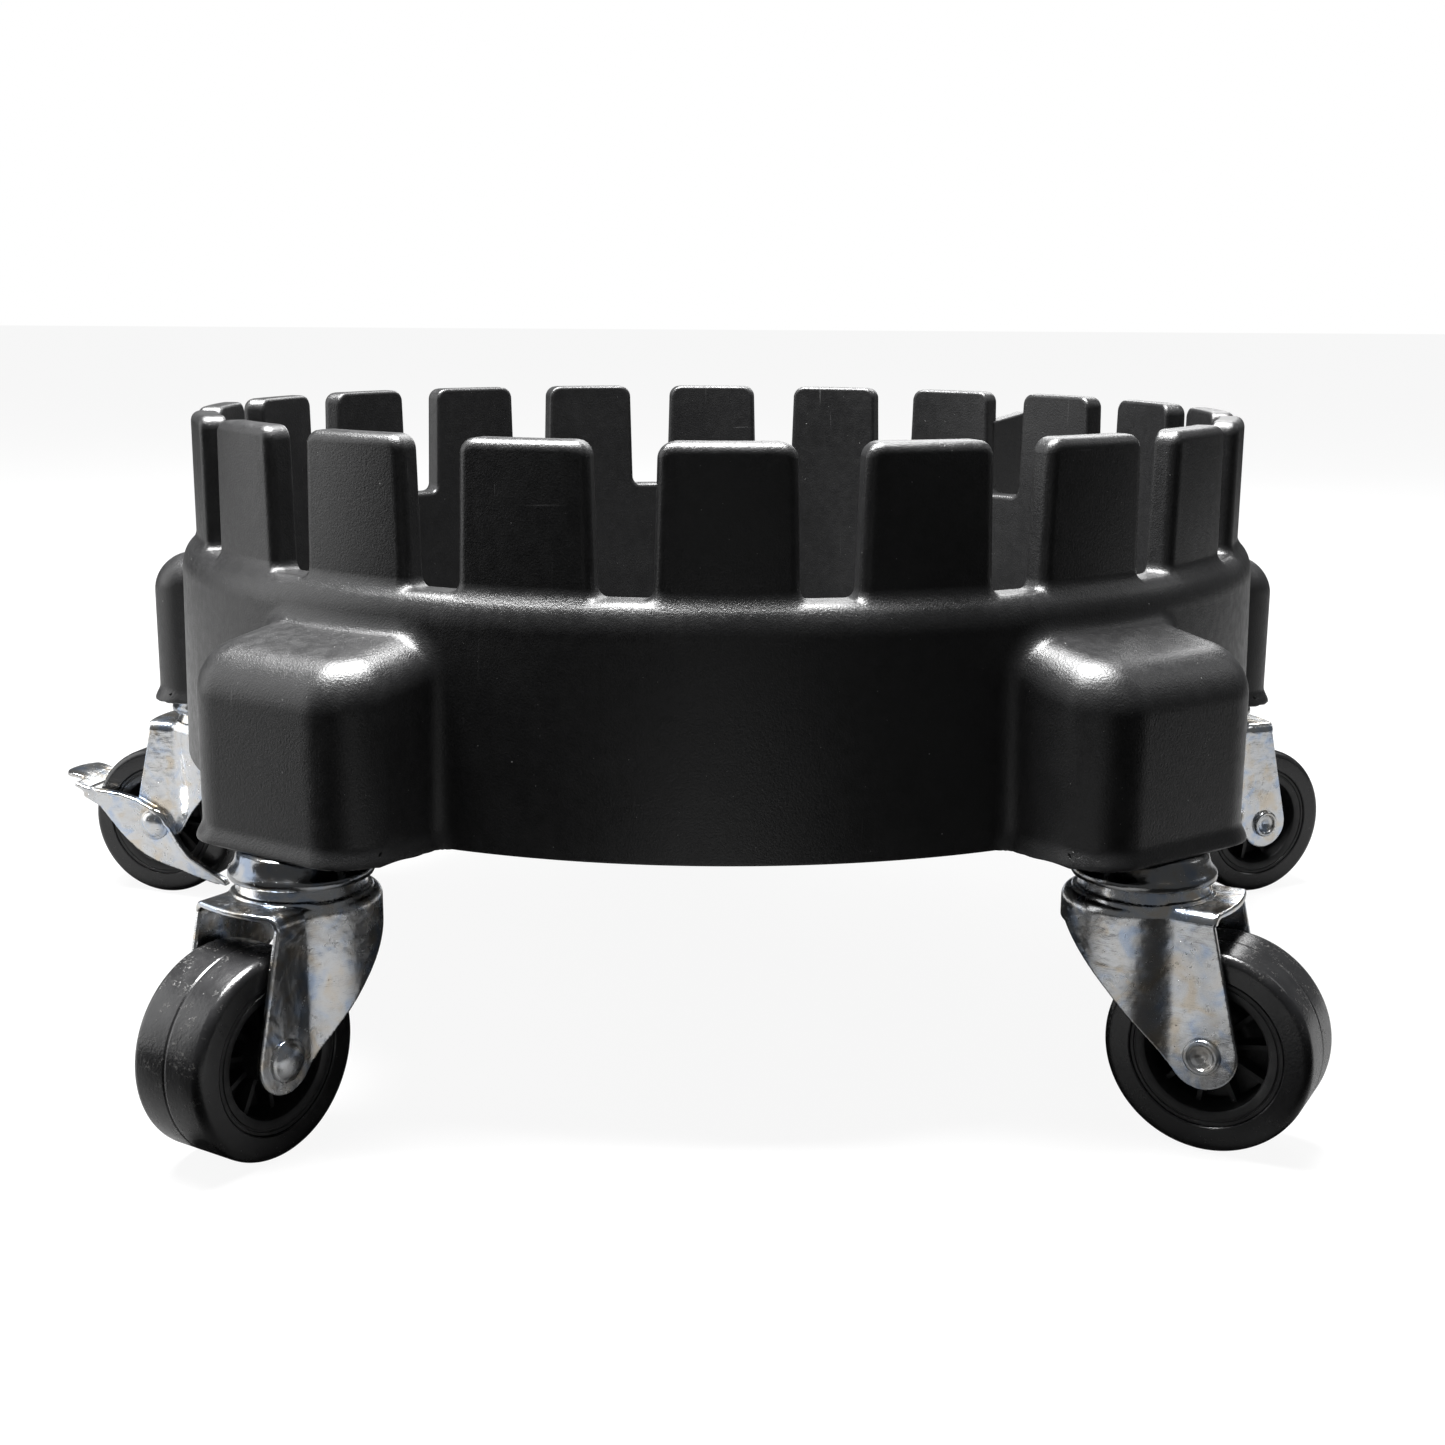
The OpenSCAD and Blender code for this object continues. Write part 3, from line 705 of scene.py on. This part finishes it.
def tyre_profile():
    w = 11.05
    p = [(18.5, -w + 0.3), (18.8, -w)] + [(20.2, -w)] + arc(25 - 2.3, -w + 2.3, 2.3, -90, 0, 8)
    p += [(25.0, -5.0), (25.0, -0.7), (25.0, -0.35), (25.0 - 0.14, -0.16), (25.0 - 0.14, 0.16), (25.0, 0.35), (25.0, 0.7), (25.0, 5.0)]
    p += arc(25 - 2.3, w - 2.3, 2.3, 0, 90, 8) + [(20.2, w)] + [(18.8, w), (18.5, w - 0.3)]
    return p


def hub_profile():
    p = []
    for s in (-1, 1):
        q = [(3.06, s * 11.3), (3.3, s * 11.4), (5.9, s * 11.4), (6.2, s * 11.1), (6.4, s * 3.4), (6.9, s * 2.3), (7.8, s * 1.6), (9.0, s * 1.5),
             (13.2, s * 1.5), (13.9, s * 1.8), (14.3, s * 2.6), (14.6, s * 9.6), (14.9, s * 10.3), (15.4, s * 10.6), (16.9, s * 10.65),
             (17.1, s * 10.35), (17.4, s * 10.35), (17.6, s * 10.65), (18.2, s * 10.65), (18.49, s * 10.35)]
        p += q[::-1] if s > 0 else q
    return p


def rivet_profile(ext):
    y = LEG + ext
    p = [(0, -y + 0.1), (0.5, -y), (1.5, -y - 0.45), (1.8, -y - 0.6), (2.6, -y - 0.6), (2.85, -y - 0.75), (3.05, -y - 1.1), (3.35, -y - 1.35),
         (3.75, -y - 1.42), (4.1, -y - 1.3), (4.38, -y - 1.0), (4.5, -y - 0.6), (4.5, -y)]
    p += [(3.0, -y), (3.0, y)]
    p += [(5.2, y), (5.25, y + 0.25), (5.2, y + 0.45), (4.9, y + 0.7), (4.45, y + 0.8), (4.2, y + 0.95), (3.9, y + 1.25), (3.3, y + 1.6), (2.4, y + 1.9), (1.3, y + 2.07), (0, y + 2.12)]
    return p


CUP = [(5.0, 70.28), (13.6, 70.28), (14.6, 70.0), (15.2, 69.4), (15.5, 68.4), (15.8, 67.4), (16.3, 66.5), (16.8, 65.9), (17.2, 65.5), (17.4, 65.1),
       (17.45, 64.4), (17.4, 63.9), (17.15, 63.5), (16.8, 63.4), (16.4, 63.5), (16.1, 63.9), (16.0, 64.8), (15.2, 66.3), (14.2, 68.5), (13.2, 69.1), (5.0, 69.1)]

VT, FT = lathe_y(tyre_profile(), 160)
VH, FH = lathe_y(hub_profile(), 144)
VH = [tuple(v) for v in VH]
for k in range(10):
    t = (k * 36 + 9) * RAD
    d, s = (math.cos(t), math.sin(t)), (-math.sin(t), math.cos(t))
    for sg in (-1, 1):
        for hh, ww, r0, r1 in ((0, 0.85, 5.6, 14.9), (0, 0, 0, 0)):
            if not r1:
                continue
            b = len(VH)
            ring = [(r0, -ww), (r1, -ww), (r1, ww), (r0, ww)]
            low, top = (0.5, 5.8) if sg > 0 else (-5.8, -0.5)
            for yy, cut in ((low, 1.0 if sg > 0 else 0.72), (top, 0.72 if sg > 0 else 1.0)):
                for r, w in ring:
                    VH.append((TRAIL + r * d[0] + w * cut * s[0], yy, AXLE + r * d[1] + w * cut * s[1]))
            FH += [tuple(reversed(f)) for f in box_faces(b)]
VH = np.array(VH)
tread = np.clip((np.hypot(VT[:, 0] - TRAIL, VT[:, 2] - AXLE) - 23.4) / 1.4, 0, 1)

for c in CASTERS:
    n = c.name
    o = make("fork_shell_" + n, c.place(VF), QF, c.turn(NF))
    dress(o, M_FORK, "fork_" + n, "fork_" + n)
    o = make("tyre_ring_" + n, c.place(VT), FT, attrs={"tread": tread})
    sharp(o, 40)
    dress(o, M_TYRE, "wheel_" + n, "tyre_" + n)
    o = make("hub_core_" + n, c.place(VH), FH)
    sharp(o, 35)
    dress(o, M_HUB, "wheel_" + n, "hub_" + n)
    V, F = lathe_y(rivet_profile(1.6 if n == "rear_left" else 0.0), 72)
    o = make("rivet_" + n, c.place(V), F)
    sharp(o, 42)
    dress(o, M_RIVET, "fork_" + n, "axle_rivet_" + n)
    V, F = lathe(CUP, 128)
    o = make("cup_" + n, c.place(V), F)
    sharp(o, 42)
    dress(o, M_CUP, "base", "bearing_cup_" + n)
    for kind, mat in (("stem_", M_STEM), ("grip_ring_", M_STEM), ("bearing_balls_", M_BALL)):
        ob = NODES[kind + n]
        ob.data.materials.clear()
        ob.data.materials.append(mat)

# brake lever, about the axle: a crescent on each side, a bridge and a pedal
LEVER = [(26.8, 11.4), (26.6, 7.6), (20.6, 4.6), (16.4, -0.4), (12.2, -5.2), (7.2, -9.4), (4.2, -11.3), (0, -13.2), (-6.1, -15), (-8.4, -15.6),
           (-13.7, -17.4), (-21.2, -19.4), (-25.4, -20), (-26.4, -18.8), (-25.2, -17.2), (-21.2, -15.2), (-13.7, -10.9), (-10.4, -7.2),
           (-8.6, -4.4), (-6.4, -0.6), (-3.5, 2.8), (0, 5.6), (6, 8.6), (11.8, 10.1), (19.9, 10.8)]


def lever(x, y, z):
    u, w = x - TRAIL, z - AXLE
    p = poly_sdf(u, w, LEVER)
    ay = np.abs(y)
    plate = ri(p + 0.2, np.abs(ay - 14.4) - 0.7, 0.35)
    # curled flange along the upper edge
    edge = np.maximum(np.abs(p + 0.75) - 0.75, -(w - 0.62 * u + 3.4) * 0.8)
    curl = ri(edge, np.abs(ay - 15.1) - 1.35, 0.5)
    f = ru(plate, curl, 0.6)
    # bridge and pedal, tilted up towards the toe
    c, s = math.cos(24 * RAD), math.sin(24 * RAD)
    a, b = (u - 26.1) * c + (w - 10.3) * s, -(u - 26.1) * s + (w - 10.3) * c
    b = b + 0.035 * np.maximum(a - 4, 0) ** 2
    bridge = ri(np.abs(a - 1.8) - 2.2, ay - 15.1, 0.8)
    toe = np.minimum(np.maximum(np.abs(a - 6) - 3.6, ay - 8.5), np.hypot(a - 3.4, y) - 10.4)
    toe = np.maximum(np.maximum(toe, ay - 8.5), 1.0 - a)
    ped = ru(bridge, toe, 1.8)
    rib = 0.5 * (np.abs(np.mod(a, 2.4) - 1.2) < 0.45) * (np.abs(y) < 6) * (a > 4.6) * (a < 11)
    ped = ri(ped, np.abs(b) - 0.75 - 0.0 * rib, 0.35)
    f = ru(f, ped, 0.8)
    return np.maximum(f, 3.06 - np.hypot(u, w))


h = 0.5
V, Ql, N = field_mesh(lever, np.arange(-7.5, 61.5, h), np.arange(-17.4, 17.5, h), np.arange(5.6, 43.0, h))
cr = CASTERS[CAST.index("rear_left")]
lev_o = make("brake_pedal_lever", cr.place(V), Ql, cr.turn(N))
dress(lev_o, M_LEVER, "brake_lever", "brake_lever")

# ------------------------------------------------------------------ stage, light, camera

me = bpy.data.meshes.new("ground")
me.from_pydata([(-14, -14, GROUND), (14, -14, GROUND), (14, 14, GROUND), (-14, 14, GROUND)], [], [(0, 1, 2, 3)])
ground = bpy.data.objects.new("ground", me)
bpy.context.scene.collection.objects.link(ground)
gn = Net("ground_pale")
gn.out(Base_Color=gn.mix(gn.noise(0.004, 2), (0.86, 0.86, 0.86), (0.9, 0.9, 0.9)), Roughness=0.65)
gm = gn.m
lit = gn.node("ShaderNodeEmission", Strength=1.0)
lit.inputs["Color"].default_value = (1.0, 1.0, 1.0, 1.0)
# painted shade: for every ray but the camera's the floor is a dark diffuse whose colour is set by position, standing
# in for a dark room in the metal's reflections. In front of the tray (y < -150 mm) it is 0.11 in the middle and near
# black (0.005) out at the sides. Further back it is 0.13.
bounce_painted_shade = gn.node("ShaderNodeBsdfDiffuse")
sep = gn.t.nodes.new("ShaderNodeSeparateXYZ")
gn.link(gn.co, sep.inputs[0])
near = gn.ramp(sep.outputs[1], -205.0, -150.0)
side = gn.math("MULTIPLY", gn.ramp(sep.outputs[0], -90.0, -50.0), gn.ramp(sep.outputs[0], 90.0, 40.0))
front_painted_shade = gn.mix(side, (0.005, 0.005, 0.005), (0.11, 0.11, 0.11))
gn.link(gn.mix(near, front_painted_shade, (0.13, 0.13, 0.13)), bounce_painted_shade.inputs["Color"])
ray = gn.t.nodes.new("ShaderNodeLightPath")
pale = gn.t.nodes.new("ShaderNodeMixShader")
pale.inputs[0].default_value = 0.92
gn.link(gn.b.outputs[0], pale.inputs[1])
gn.link(lit.outputs[0], pale.inputs[2])
pick = gn.t.nodes.new("ShaderNodeMixShader")
gn.link(ray.outputs["Is Camera Ray"], pick.inputs[0])
gn.link(bounce_painted_shade.outputs[0], pick.inputs[1])
gn.link(pale.outputs[0], pick.inputs[2])
go = next(n for n in gn.t.nodes if n.type == "OUTPUT_MATERIAL")
gn.link(pick.outputs[0], go.inputs[0])
ground.data.materials.append(gm)

world = bpy.context.scene.world or bpy.data.worlds.new("studio")
bpy.context.scene.world = world
bpy.context.scene.view_settings.view_transform = "Standard"
world.use_nodes = True
wt = world.node_tree
wt.nodes.clear()
seen = wt.nodes.new("ShaderNodeBackground")
seen.inputs[0].default_value = (1.0, 1.0, 1.0, 1.0)
seen.inputs[1].default_value = 1.0
fill = wt.nodes.new("ShaderNodeBackground")
fill.inputs[0].default_value = (0.96, 0.98, 1.0, 1.0)
fill.inputs[1].default_value = 0.11
lp = wt.nodes.new("ShaderNodeLightPath")
mx = wt.nodes.new("ShaderNodeMixShader")
wo = wt.nodes.new("ShaderNodeOutputWorld")
wt.links.new(lp.outputs["Is Camera Ray"], mx.inputs[0])
wt.links.new(fill.outputs[0], mx.inputs[1])
wt.links.new(seen.outputs[0], mx.inputs[2])
wt.links.new(mx.outputs[0], wo.inputs[0])


def area(name, pos, at, size, power, size_y=None):
    l = bpy.data.lights.new(name, "AREA")
    l.shape = "RECTANGLE"
    l.size, l.size_y = size, size_y or size
    l.energy = power
    o = bpy.data.objects.new(name, l)
    o.location = Vector(pos) + Vector((0, 0, GROUND))
    o.rotation_euler = (Vector(at) - Vector(pos)).to_track_quat("-Z", "Y").to_euler()
    bpy.context.scene.collection.objects.link(o)


area("key", (-0.22, 0.04, 1.2), (-0.22, 0.04, 0.0), 1.0, 110, 0.5)
bpy.data.objects["key"].rotation_euler = (0, 0, 0)
area("left", (-1.4, 0.1, 0.5), (0, -0.05, 0.08), 1.1, 7)
area("back", (0.35, 1.2, 1.0), (0, 0, 0.1), 0.9, 14)
area("right", (1.25, 0.3, 0.9), (0, 0, 0.1), 0.35, 0.8)

az = -0.891 * RAD
yaw = az - 0.061 * RAD
p = 12.209 * RAD
r = -0.365 * RAD
C = Vector((0.591526 * math.sin(az), -0.591526 * math.cos(az), 0.198208 + GROUND))
fw = Vector((-math.sin(yaw) * math.cos(p), math.cos(yaw) * math.cos(p), -math.sin(p)))
rt = Vector((math.cos(yaw), math.sin(yaw), 0))
dn = fw.cross(rt)
rt2 = rt * math.cos(r) + dn * math.sin(r)
dn2 = -rt * math.sin(r) + dn * math.cos(r)
cam = bpy.data.cameras.new("camera")
cam.sensor_width = 36.0
cam.lens = 36.0 * 1942.425 / 1445.0
cam.shift_x = (722.5 - 718.041) / 1445.0
cam.clip_start, cam.clip_end = 0.02, 60
co = bpy.data.objects.new("camera", cam)
m = Matrix((rt2, -dn2, -fw)).transposed().to_4x4()
m.translation = C
co.matrix_world = m
bpy.context.scene.collection.objects.link(co)
bpy.context.scene.camera = co
